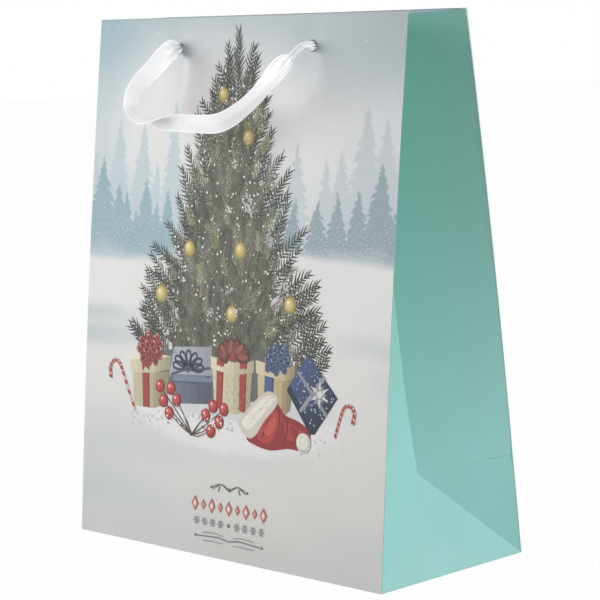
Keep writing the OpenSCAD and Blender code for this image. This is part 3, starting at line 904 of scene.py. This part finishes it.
def gifts(art, rng):
    # the shaded hollow between the boxes
    art.layer += 1
    art.poly([(52, 203), (84, 199), (112, 200), (150, 199), (178, 198), (196, 203), (190, 218), (156, 224), (118, 226), (84, 224), (60, 220)], (96, 100, 98))
    # silver lid box behind a slate box
    art.layer += 1
    quad_grad(art, (83, 197.5), (116.5, 195), (117.5, 212), (79, 215), (170, 174, 180), (146, 151, 160), 5)
    quad_grad(art, (79, 205.5), (83, 197.5), (83, 212), (79, 217), (132, 137, 146), (140, 145, 154), 2)
    art.layer += 1
    quad_grad(art, (83.5, 214.5), (117.5, 212.5), (117.5, 229), (86, 231.5), (106, 112, 128), (78, 84, 98), 5)
    art.poly([(82.5, 214), (118.5, 212), (118.5, 216), (82.8, 218.2)], (116, 125, 146))
    art.poly([(82.8, 218.2), (118.5, 216), (118.3, 216.8), (83, 219)], (70, 82, 103))
    art.poly([(99, 217.5), (104.5, 217), (104.8, 229.9), (99.5, 230.3)], (72, 86, 114))
    art.layer += 1
    for i in range(7):                        # open loops of dark ribbon
        a = -math.pi + math.pi * i / 6
        px, py = 96 + 8.5 * math.cos(a), 208.5 + 5.5 * math.sin(a)
        loop = [(px + (5.4 * math.cos(q)) * math.cos(a) - 2.3 * math.sin(q) * math.sin(a), py + (5.4 * math.cos(q)) * math.sin(a) * 0.8 + 2.3 * math.sin(q) * math.cos(a)) for q in np.linspace(0, 2 * math.pi, 15)]
        art.line(loop, 1.7, 1.7, (62, 70, 84))
    art.disc(96, 209.5, 2.6, (74, 84, 100), 12)
    art.line([(80.5, 214.5), (92, 210.8), (105, 209.5), (117, 207.5)], 1.6, 1.6, (74, 82, 96))
    # cream box at the left
    art.layer += 1
    quad_grad(art, (45, 216), (64, 215), (65, 236.5), (47, 236.5), (190, 184, 152), (176, 169, 136), 4)
    quad_grad(art, (64, 215), (78.5, 213), (77.5, 233), (65, 236.5), (162, 154, 123), (143, 135, 106), 4)
    art.layer += 1
    quad_grad(art, (42.5, 208.5), (65, 207), (65.5, 215), (43.2, 216.5), (207, 201, 170), (193, 186, 154), 4)
    quad_grad(art, (65, 207), (79.5, 203.5), (79.5, 211.5), (65.5, 215), (178, 170, 138), (158, 150, 120), 3)
    art.poly([(42.5, 208.5), (54, 203.5), (79.5, 203.5), (65, 207)], (222, 214, 178))
    art.layer += 1
    art.poly([(53, 207.8), (58.5, 207.4), (60.5, 236.5), (55.5, 236.6)], (160, 62, 54))
    art.poly([(58.5, 207.4), (60, 207.3), (61.8, 236.5), (60.5, 236.5)], (122, 42, 38))
    art.layer += 1
    bow(art, 60.5, 200.5, 12.8, (92, 36, 36), (160, 68, 64), (206, 150, 142), rng)
    # tan box with the navy bow
    art.layer += 1
    quad_grad(art, (157, 206), (178, 208), (177.5, 231), (158, 226), (196, 180, 148), (182, 164, 130), 4)
    quad_grad(art, (178, 208), (187, 204.5), (184.5, 226), (177.5, 231), (158, 140, 108), (142, 125, 96), 2)
    art.layer += 1
    quad_grad(art, (155, 199.5), (180, 202), (180.3, 209.5), (155.5, 207), (208, 194, 164), (192, 176, 144), 4)
    quad_grad(art, (180, 202), (188, 199.5), (187.5, 206.5), (180.3, 209.5), (170, 152, 120), (154, 138, 108), 2)
    art.layer += 1
    art.poly([(163, 200.5), (169.5, 201), (169, 228.8), (163, 227.4)], (72, 92, 134))
    art.poly([(169.5, 201), (171, 201.1), (170.4, 229.2), (169, 228.8)], (50, 64, 98))
    art.layer += 1
    bow(art, 173.5, 197.5, 11.2, (48, 58, 82), (80, 98, 134), (138, 154, 180), rng)
    # patterned cream box in the middle
    art.layer += 1
    quad_grad(art, (117.5, 207), (137, 209), (137, 233), (120.5, 229), (205, 199, 170), (195, 188, 157), 4)
    quad_grad(art, (137, 209), (152.5, 206), (151, 230), (137, 233), (185, 176, 146), (169, 160, 130), 4)
    art.layer += 1
    for i in range(6):
        for j in range(5):
            x, y = 119.5 + i * 5.4 + (j % 2) * 2.0, 212 + j * 4.1
            art.line([(x, y), (x + 0.9, y + 1.5)], 0.55, 0.4, (150, 136, 98) if (i + j) % 2 else (122, 112, 84))
    quad_grad(art, (116, 200.5), (136.5, 202.5), (137, 210), (116.5, 207.8), (214, 208, 182), (201, 194, 165), 4)
    quad_grad(art, (136.5, 202.5), (154, 200), (153.6, 207), (137, 210), (189, 180, 150), (173, 164, 134), 4)
    art.layer += 1
    for x in (121.5, 141.5):
        art.poly([(x, 201.2), (x + 5.3, 201.6), (x + 5, 231), (x + 0.6, 230.2)], (160, 60, 52))
        art.poly([(x + 5.3, 201.6), (x + 6.4, 201.6), (x + 6, 231), (x + 5, 231)], (120, 40, 36))
    art.layer += 1
    for i in range(8):
        a = -math.pi + math.pi * i / 7
        px, py = 135 + 9 * math.cos(a), 199.5 + 5.5 * math.sin(a)
        art.disc(px, py, 6.2, (92, 48, 44), 16, 0.52, a * 0.8)
        art.layer += 1
        art.disc(px, py - 0.6, 4.2, (146, 84, 76) if i % 2 else (120, 62, 56), 14, 0.42, a * 0.8)
        art.layer -= 1
    art.layer += 2
    art.disc(135, 199.5, 2.6, (150, 56, 50), 12)
    # starry navy box on its corner
    art.layer += 1
    quad_grad(art, (198, 192.5), (222, 215.5), (205, 237.5), (184, 211), (64, 82, 122), (42, 48, 68), 6)
    art.poly([(184, 211), (205, 237.5), (201.5, 238), (181.5, 214.5)], (34, 44, 70))
    art.layer += 1
    for _ in range(80):
        u, v = rng.uniform(0.03, 0.97), rng.uniform(0.03, 0.97)
        x = (198 * (1 - u) + 222 * u) * (1 - v) + (184 * (1 - u) + 205 * u) * v
        y = (192.5 * (1 - u) + 215.5 * u) * (1 - v) + (211 * (1 - u) + 237.5 * u) * v
        art.disc(x, y, rng.choice((0.3, 0.4, 0.55)), (196, 204, 220), 6)
    art.layer += 1
    art.line([(211.5, 204.5), (193, 225.5)], 2.4, 2.4, (146, 151, 156))
    art.line([(190, 203), (214, 226)], 2.2, 2.2, (132, 139, 146))
    art.layer += 1
    for i in range(12):
        a = 2 * math.pi * i / 12
        rr = 8.2 if i % 2 else 6.4
        art.poly([(208 + 1.8 * math.cos(a + 1.2), 214.5 + 1.8 * math.sin(a + 1.2)), (208 + rr * math.cos(a), 214.5 + rr * math.sin(a)), (208 + 1.8 * math.cos(a - 1.2), 214.5 + 1.8 * math.sin(a - 1.2))], (208, 208, 204) if i % 2 else (140, 142, 142))
        art.layer += 1 if i == 5 else 0
    art.layer += 1
    art.disc(208, 214.5, 2.0, (206, 211, 217), 10)


def blob(art, pts, rgb, n=6):
    """A smooth closed outline through the points."""
    out = []
    k = len(pts)
    for i in range(k):
        a, b, c, d = (np.array(pts[(i + j) % k], float) for j in (-1, 0, 1, 2))
        for t in np.arange(n) / n:
            out.append(tuple(0.5 * (2 * b + (c - a) * t + (2 * a - 5 * b + 4 * c - d) * t * t + (3 * b - a - 3 * c + d) * t ** 3)))
    art.poly(out, rgb)


def small_things(art, rng):
    # a red cap with a pale brim
    art.layer += 1
    blob(art, [(149, 245), (157, 233), (166, 225), (174, 223), (181, 229), (190, 231), (199, 235), (202, 242), (197, 248), (184, 248), (170, 250.5), (157, 249)], (140, 46, 42))
    art.layer += 1
    blob(art, [(158, 243), (166, 231), (173, 227), (178, 232), (174, 241), (166, 247)], (172, 64, 58))
    blob(art, [(180, 234), (189, 234), (196, 238), (192, 242), (184, 243)], (164, 60, 54))
    art.layer += 1
    blob(art, [(164, 240), (169, 233), (173, 231), (173, 236), (168, 242)], (190, 84, 76))
    art.line([(176, 226), (176.5, 235), (171, 246)], 1.5, 0.5, (100, 32, 30))
    art.line([(183, 230), (183, 239), (179, 247)], 1.3, 0.4, (106, 34, 31))
    art.line([(192, 233), (191, 240), (187, 246)], 1.0, 0.3, (110, 36, 32))
    art.layer += 1
    blob(art, [(142, 236.5), (149, 229), (159, 220.5), (167, 216.5), (174, 219), (173, 225), (164, 234), (157, 243), (151, 245.5), (145, 242)], (202, 196, 186))
    art.layer += 1
    blob(art, [(145, 236.5), (152, 229.5), (160, 222.5), (167, 219), (171, 221), (166, 227), (157, 236), (150, 240.5)], (224, 219, 209))
    for _ in range(46):
        t = rng.random()
        art.disc(145 + 26 * t + rng.gauss(0, 1.6), 239.5 - 19 * t + rng.gauss(0, 1.6), 0.45, rng.choice(((192, 185, 174), (236, 232, 224))), 5)
    art.layer += 1
    art.disc(196.5, 243.5, 5.9, (190, 186, 178), 20)
    art.layer += 1
    art.disc(195.6, 242.6, 4.8, (218, 214, 206), 18)
    for _ in range(22):
        art.disc(196 + rng.gauss(0, 2.3), 243 + rng.gauss(0, 2.2), 0.45, rng.choice(((188, 183, 174), (234, 231, 225))), 5)
    # sugar canes
    for pts in ([(24.5, 222), (23.6, 215), (26.5, 210.8), (31, 210.8), (35, 216), (41, 227), (48.5, 240)],
                [(234, 229), (235.2, 222.5), (232, 219), (227.5, 220), (225, 225), (223, 231), (221, 237.5)]):
        dense = []
        for i in range(len(pts) - 1):
            a, b, c, d = (np.array(pts[max(0, min(len(pts) - 1, i + j))], float) for j in (-1, 0, 1, 2))
            for t in np.arange(8) / 8:
                dense.append(tuple(0.5 * (2 * b + (c - a) * t + (2 * a - 5 * b + 4 * c - d) * t * t + (3 * b - a - 3 * c + d) * t ** 3)))
        dense.append(pts[-1])
        art.layer += 1
        art.line(dense, 2.7, 1.6, (216, 200, 194))
        art.layer += 1
        for i in range(0, len(dense) - 3, 4):
            a, b = np.array(dense[i]), np.array(dense[i + 3])
            w = (2.7 - 1.1 * i / len(dense)) / 2
            tdir = (b - a) / (np.linalg.norm(b - a) + 1e-9)
            nrm = np.array([-tdir[1], tdir[0]])
            run = min(3.1, float(np.linalg.norm(b - a)))
            art.poly([tuple(a + nrm * w), tuple(a + nrm * w + tdir * run), tuple(a - nrm * w + tdir * (run + 1.2)), tuple(a - nrm * w + tdir * 1.3)], (170, 66, 60))
        art.layer += 1
        art.line([(p[0] - 0.75, p[1] - 0.15) for p in dense], 0.5, 0.3, (146, 62, 57))
    # berries on their stems
    art.layer += 1
    foot = (101, 249)
    spots = ((71, 222.5), (81, 223), (74.5, 231), (86.5, 229.5), (80, 238), (119.5, 230), (129, 231), (113, 236), (125, 239), (118, 245))
    for i, (x, y) in enumerate(spots):
        mid_ = ((x + foot[0]) / 2 + (3 if i < 5 else -3), (y + foot[1]) / 2 + 2.5)
        art.line([foot, mid_, (x, y)], 0.8, 0.4, (84, 66, 56))
    for i in range(14):
        t = rng.random()
        x = 84 + 34 * t
        y = 239 + 10 * math.sin(math.pi * t) + rng.uniform(-1, 1)
        art.line([(x, y), (x + rng.uniform(-2.4, 2.4), y - rng.uniform(1.5, 3.5))], 0.5, 0.25, (84, 66, 56))
    for x, y in spots:
        art.layer += 1
        lay = art.layer
        for j, (dx, dy, f, col) in enumerate(((0, 0, 1, (116, 36, 34)), (-0.06, -0.06, 0.88, (166, 54, 50)), (-0.16, -0.16, 0.62, (190, 78, 70)), (-0.32, -0.34, 0.2, (238, 208, 200)))):
            art.layer = lay + j
            art.disc(x + dx * 4.1, y + dy * 4.1, 4.1 * f, col, 18)
        art.disc(x + 0.8, y + 1.0, 0.55, (60, 26, 24), 6)
        art.layer = lay
    art.layer += 4
    # crumbs of snow along the foot of the gifts
    for _ in range(170):
        x = rng.uniform(44, 214)
        y = 241 + 2.7 * math.sin(x / 23.0) + rng.gauss(0, 2.6)
        if not 140 < x < 204 or y > 249:
            art.disc(x, y, rng.choice((0.4, 0.6, 0.8)), (226, 227, 226), 6)


def flake(art, x, y, r, rgb):
    for i in range(3):
        a = math.pi * i / 3
        art.line([(x - r * math.cos(a), y - r * math.sin(a)), (x + r * math.cos(a), y + r * math.sin(a))], 0.5, 0.5, rgb)
    for i in range(6):
        a = math.pi * i / 3
        mx, my = x + 0.6 * r * math.cos(a), y + 0.6 * r * math.sin(a)
        for s in (-1, 1):
            art.line([(mx, my), (mx + 0.38 * r * math.cos(a + s * 0.9), my + 0.38 * r * math.sin(a + s * 0.9))], 0.45, 0.35, rgb)


def ornament(art):
    """A plain band of scrolls, lozenges and flakes below the picture."""
    grey, red = (126, 128, 128), (190, 104, 98)
    art.layer += 1
    cx = 135.5
    for s in (-1, 1):
        ts = np.linspace(0, 1, 40)
        art.line([(cx + s * (1.5 + 13.5 * t), 278.2 - 3.1 * math.sin(math.pi * t) * (1 - 0.35 * t)) for t in ts], 1.1, 0.35, (96, 99, 99))
        art.line([(cx + s * (9.5 - 5.4 * t * math.cos(2.6 * t)), 280.0 - 3.4 * math.sin(2.9 * t)) for t in ts], 0.7, 0.35, (96, 99, 99))
        art.disc(cx + s * 15.6, 278.0, 0.8, (96, 99, 99), 8)
    art.disc(cx, 278.0, 1.2, (96, 99, 99), 10)
    for i in range(9):
        x = cx - 29.6 + 7.4 * i
        big = i % 2 == 0
        rr = 4.6 if big else 3.1
        art.poly([(x, 289.3 - rr), (x + rr * 0.66, 289.3), (x, 289.3 + rr), (x - rr * 0.66, 289.3)], red)
        art.layer += 1
        art.poly([(x, 289.3 - rr * .5), (x + rr * 0.33, 289.3), (x, 289.3 + rr * .5), (x - rr * 0.33, 289.3)], (216, 210, 206) if big else (206, 150, 144))
        art.layer -= 1
    for i in range(9):
        if i == 4:
            art.disc(cx, 299.3, 1.2, grey, 10)
            continue
        flake(art, cx - 28 + 7 * i, 299.3, 2.5, (150, 152, 152))
    art.line([(cx - 27, 308.4), (cx - 9, 307.4), (cx, 308.6), (cx + 9, 307.4), (cx + 27, 308.4)], 0.8, 0.8, grey)
    for s in (-1, 1):
        art.disc(cx + s * 28.6, 308.4, 1.0, grey, 8)
        art.line([(cx + s * 22, 306.0), (cx + s * 12, 305.2), (cx + s * 4, 306.2)], 0.5, 0.3, grey)
        art.line([(cx + s * 22, 310.8), (cx + s * 12, 310.4), (cx + s * 4, 310.6)], 0.5, 0.3, grey)


def picture():
    rng = random.Random(11)
    art = Art()
    fir_tree(art, rng)
    gifts(art, rng)
    small_things(art, rng)
    ornament(art)
    return art


# ------------------------------------------------------------------ panels
SIDES = {"front": (on_front, "front_side"), "back": (on_back, "back_side")}
PRINT = winter_paper("winter_print")
ART = picture()
for sd in SIDES:
    ART.build(f"{sd}_panel_drawing", *SIDES[sd])


TOP_S = H - 0.2                               # where the paper starts to fold over the card


def top_fold(side, place):
    """The paper turns over the card's top edge in a tight half round."""
    xs = np.linspace(-HW, HW, 53)
    arc = np.linspace(0, math.pi, 9)
    verts, uvs = [], []
    mid_n, mid_r = (HEM_N + T) / 2, (HEM_N + T) / 2
    for x in xs:
        cut = 1.0 if abs(x) < HW - 5.4 else 0.5
        for r in (mid_r, mid_r - T):
            for a in arc:
                a = a * cut
                s_ = TOP_S + r * math.sin(a)
                verts.append(place(x, s_, mid_n - r * math.cos(a)))
                uvs.append((x / 100, (TOP_S + (r * a if a < 1.6 else r * (math.pi - a))) / 100))
    k, na = 18, 9
    faces, index = [], []
    for i in range(len(xs) - 1):
        for j in range(na - 1):
            a, b = i * k + j, (i + 1) * k + j
            faces.append((a, b, b + 1, a + 1)); index.append(0)
            a, b = a + na, b + na
            faces.append((a + 1, b + 1, b, a)); index.append(1)
        for j in (0, na - 1):
            a, b = i * k + j, (i + 1) * k + j
            faces.append((a, a + na, b + na, b) if j == 0 else (b, b + na, a + na, a)); index.append(2)
    for i in (0, len(xs) - 1):
        for j in range(na - 1):
            a = i * k + j
            f = (a, a + 1, a + 1 + na, a + na)
            faces.append(f if i == 0 else f[::-1]); index.append(2)
    ob = new_object(f"{side}_top_fold", verts, faces, [PRINT, WHITE, EDGE], index, uvs)
    sharpen(ob, 40)
    return ob


def panel(side):
    place, body = SIDES[side]
    ob = slab(f"{side}_panel_sheet", place, -HW, HW, 0, TOP_S, 0, T, [PRINT, WHITE, EDGE, RIM_SHADE])
    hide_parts(f"{side}_panel")
    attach(ob, body)
    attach(top_fold(side, place), body)
    hem = slab(f"{side}_top_hem_sheet", place, -HW + 5.4, HW - 5.4, H - HEM, TOP_S, HEM_N, HEM_N + T, [WHITE, SKY, EDGE])
    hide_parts(f"{side}_top_hem")
    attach(hem, body)
    card = slab(f"{side}_hem_card_strip", place, -HW + 6, HW - 6, H - 33.6, H - 1.2, T, HEM_N, [CARDM, CARDM, CARDM])
    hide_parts(f"{side}_hem_card")
    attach(card, body)


panel("front")
panel("back")

for sd in SIDES:
    kn = knot(sd)
    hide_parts(f"{sd}_ribbon_knots")
    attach(kn, SIDES[sd][1])

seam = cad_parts["side_seam_flap"]
flo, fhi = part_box("side_seam_flap")
flap = slab("side_seam_flap_sheet", on_back, -fhi[0] / MM, -flo[0] / MM, 24, 284, T, 2 * T, [WHITE, WHITE, EDGE], holes=False)
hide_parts("side_seam_flap")
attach(flap, "back_side")

for o, m in (("base_board", CARDM), ("base_front_flap", BASE), ("base_back_flap", BASE), ("base_right_tuck", MINT), ("base_left_tuck", MINT)):
    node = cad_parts[o]
    for sl in node.material_slots:
        sl.material = m

# ------------------------------------------------------------------ gussets
GUS = 0.93


def recess(s):
    h = HD - s * SL
    return GUS * math.sqrt(max(0, HD * HD - h * h))


APEX_IN = recess(HD)
APEX_Z = math.sqrt(HD * HD - APEX_IN * APEX_IN) + FOLD_Z
CREASE_TOP = H * CL - 3 + FOLD_Z


def gusset_point(s, u, sx, sy):
    """A point of a gusset half: s up the paper, u from the panel's edge (0) to the crease (1)."""
    e = np.array(on_front(HW, s, 0.1)) / MM
    e[1] = -abs(e[1])
    if s < HD:
        c = np.array([HW, -HD, FOLD_Z])
        a = np.array([HW - APEX_IN, 0, APEX_Z])
        k = c + (a - c) * (s / HD)
    else:
        k = np.array([HW - recess(s), 0, APEX_Z + (s - HD) / (H - HD) * (CREASE_TOP - APEX_Z)])
    p = e * (1 - u) + k * u
    lift = smooth(20, 110, s)
    p = p + 1.8 * math.sin(math.pi * u) * lift * np.array([0.6, -0.35, 0])
    if sy < 0:                                # the back half keeps the crease of its first flat fold
        p = p + 0.5 * math.exp(-((s - 60.5) / 1.1) ** 2) * smooth(0.0, 0.04, u) * smooth(0.85, 0.35, u) * np.array([0.9, 0.44, 0])
    return p


def gusset_half(side, half):
    sx = 1 if side == "right" else -1
    sy = 1 if half == "front" else -1
    rows = [5.0 * i for i in range(1, 12)] + [57, 58, 59, 60, 60.5, 61.2, 62, 63, 64, 66] + [66 + (H - 66) * i / 43 for i in range(1, 44)]
    cols = 14
    verts, uvs = [], []
    inward = np.array([-0.7, -0.7, 0])
    for layer in (0, 1):
        for s in rows:
            for j in range(cols + 1):
                u = j / cols
                p = gusset_point(s, u, sx, sy)
                if layer:
                    t = T + 0.45 * smooth(H - HEM - 0.6, H - HEM, s)
                    p = p + (np.array([-1, 0, 0]) * (1 - smooth(0, 0.08, u)) + np.array([-0.5, -0.85, 0]) * smooth(0, 0.08, u)) * t
                    if u == 1.0:
                        p[1] = min(p[1], 0)
                verts.append((sx * p[0] * MM, sy * p[1] * MM, p[2] * MM))
                uvs.append((u, s / 100))
    c0 = np.array([HW, -HD, FOLD_Z])
    nrow, m = len(rows), cols + 1
    k = nrow * m
    faces, index = [], []
    for i in range(nrow - 1):
        for j in range(cols):
            a, b, c, d = i * m + j, i * m + j + 1, (i + 1) * m + j + 1, (i + 1) * m + j
            # painted shade: on the back half, faces just above 60 mm near the panel edge take the darker crease-shade
            # mint
            faces.append((a, b, c, d)); index.append(4 if half == "back" and rows[i] == 60 and j < cols * 0.28 else 0)
            faces.append((a + k, d + k, c + k, b + k)); index.append(3 if rows[i] >= H - HEM - 4 else 1)
    # the corner below the first row, and the rims
    verts.append((sx * c0[0] * MM, sy * c0[1] * MM, c0[2] * MM))
    uvs.append((0, 0))
    tip = len(verts) - 1
    for j in range(cols):
        faces.append((tip, j + 1, j)); index.append(0)
        faces.append((tip, j + k, j + 1 + k)); index.append(1)
    faces.append((tip, 0, k)); index.append(2)
    faces.append((tip, cols + k, cols)); index.append(2)
    for i in range(nrow - 1):
        a, b = i * m, (i + 1) * m
        faces.append((a, b, b + k, a + k)); index.append(0)
        a, b = i * m + cols, (i + 1) * m + cols
        faces.append((b, a, a + k, b + k)); index.append(0)
    for j in range(cols):
        a, b = (nrow - 1) * m + j, (nrow - 1) * m + j + 1
        faces.append((a, b, b + k, a + k)); index.append(2)
    if sx * sy < 0:
        faces = [f[::-1] for f in faces]
    ob = new_object(f"{side}_gusset_{half}_sheet", verts, faces, [MINT, WHITE, EDGE, MINT, CREASE], index, uvs)
    sharpen(ob, 35)
    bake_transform(ob)
    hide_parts(f"{side}_gusset_{half}_half")
    return ob


def base_triangle(side):
    sx = 1 if side == "right" else -1
    a = np.array([HW, -HD, FOLD_Z]); b = np.array([HW, HD, FOLD_Z]); c = np.array([HW - APEX_IN, 0, APEX_Z])
    n = 12
    verts, uvs = [], []
    for layer in (0, 1):
        for i in range(n + 1):
            for j in range(n + 1 - i):
                p = a + (b - a) * (j / n) + (c - a) * (i / n)
                e = min(i, j, n - i - j) / n * 3
                p = p + np.array([0.5, 0, 0.2]) * smooth(0, 1, e)
                if layer:
                    p = p + np.array([-T, 0, T * 0.3])
                verts.append((sx * p[0] * MM, p[1] * MM, p[2] * MM)); uvs.append((j / n, i / n))
    k = len(verts) // 2
    idx, q = {}, 0
    for i in range(n + 1):
        for j in range(n + 1 - i):
            idx[i, j] = q; q += 1
    faces, index = [], []
    for i in range(n):
        for j in range(n - i):
            t = (idx[i, j], idx[i, j + 1], idx[i + 1, j])
            faces.append(t); index.append(0); faces.append(tuple(v + k for v in t[::-1])); index.append(1)
            if j < n - i - 1:
                t = (idx[i, j + 1], idx[i + 1, j + 1], idx[i + 1, j])
                faces.append(t); index.append(0); faces.append(tuple(v + k for v in t[::-1])); index.append(1)
    ring = [idx[0, j] for j in range(n + 1)] + [idx[i, n - i] for i in range(1, n + 1)] + [idx[i, 0] for i in range(n - 1, 0, -1)]
    for q in range(len(ring)):
        u, v = ring[q], ring[(q + 1) % len(ring)]
        faces.append((v, u, u + k, v + k)); index.append(0)
    if sx < 0:
        faces = [f[::-1] for f in faces]
    ob = new_object(f"{side}_gusset_triangle_sheet", verts, faces, [MINT, WHITE], index, uvs)
    sharpen(ob, 35)
    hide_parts(f"{side}_gusset_base_triangle")
    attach(ob, "bag_base")


for sd in ("right", "left"):
    for hf in ("front", "back"):
        gusset_half(sd, hf)
    base_triangle(sd)

# ------------------------------------------------------------------ studio
def light(name, loc, target, size, power, colour=(1, 1, 1)):
    l = bpy.data.lights.new(name, "AREA")
    l.shape = "RECTANGLE"
    l.size, l.size_y = size
    l.energy = power
    l.color = colour
    o = bpy.data.objects.new(name, l)
    scene.collection.objects.link(o)
    o.location = loc
    d = Vector(target) - Vector(loc)
    o.rotation_euler = d.to_track_quat("-Z", "Y").to_euler()
    return o


def seen_white(k, shader, strength, out):
    """Camera rays see a clean white; the light that falls on the bag stays the shader's own."""
    lp = k.node("ShaderNodeLightPath")
    em = k.node("ShaderNodeEmission")
    em.inputs["Color"].default_value = (1, 1, 1, 1)
    em.inputs["Strength"].default_value = 1.0
    mx = k.node("ShaderNodeMixShader")
    k.put(mx.inputs[0], k.mul(lp.outputs["Is Camera Ray"], strength))
    k.nt.links.new(shader, mx.inputs[1])
    k.nt.links.new(em.outputs[0], mx.inputs[2])
    k.nt.links.new(mx.outputs[0], out)


def studio():
    me = bpy.data.meshes.new("floor")
    me.from_pydata([(-6, -6, 0), (6, -6, 0), (6, 6, 0), (-6, 6, 0)], [], [(0, 1, 2, 3)])
    fl = bpy.data.objects.new("floor", me)
    scene.collection.objects.link(fl)
    m, nt, p = material("floor_white")
    p.inputs["Base Color"].default_value = (0.93, 0.93, 0.93, 1)
    p.inputs["Roughness"].default_value = 0.9
    seen_white(N(nt), p.outputs[0], 0.975, nt.nodes["Material Output"].inputs["Surface"])
    me.materials.append(m)
    world = scene.world or bpy.data.worlds.new("world")
    scene.world = world
    world.use_nodes = True
    wt = world.node_tree
    bg = wt.nodes["Background"]
    bg.inputs["Color"].default_value = (1, 1, 1, 1)
    bg.inputs["Strength"].default_value = WORLD
    seen_white(N(wt), bg.outputs[0], 1.0, wt.nodes["World Output"].inputs["Surface"])
    light("key", (1.85, 0.93, 0.5), (0.1, 0, 0.1), (1.0, 0.8), KEY)
    light("fill", (-2.1, -1.8, 0.9), (0, 0, 0.15), (2.4, 1.8), FILL)
    # a soft light for the ribbons alone, in place of the light that thin satin lets through
    own = bpy.data.collections.new("ribbons")
    for sd in SIDES:
        own.objects.link(bpy.data.objects[f"{sd}_satin_ribbon"])
    glow = light("ribbon_light", (2.0, -0.8, 0.62), (0, -0.05, 0.28), (1.2, 1.2), RIBBON_W)
    glow.light_linking.receiver_collection = own


WORLD, KEY, FILL, RIBBON_W = 0.26, 21.6, 76, 40
studio()
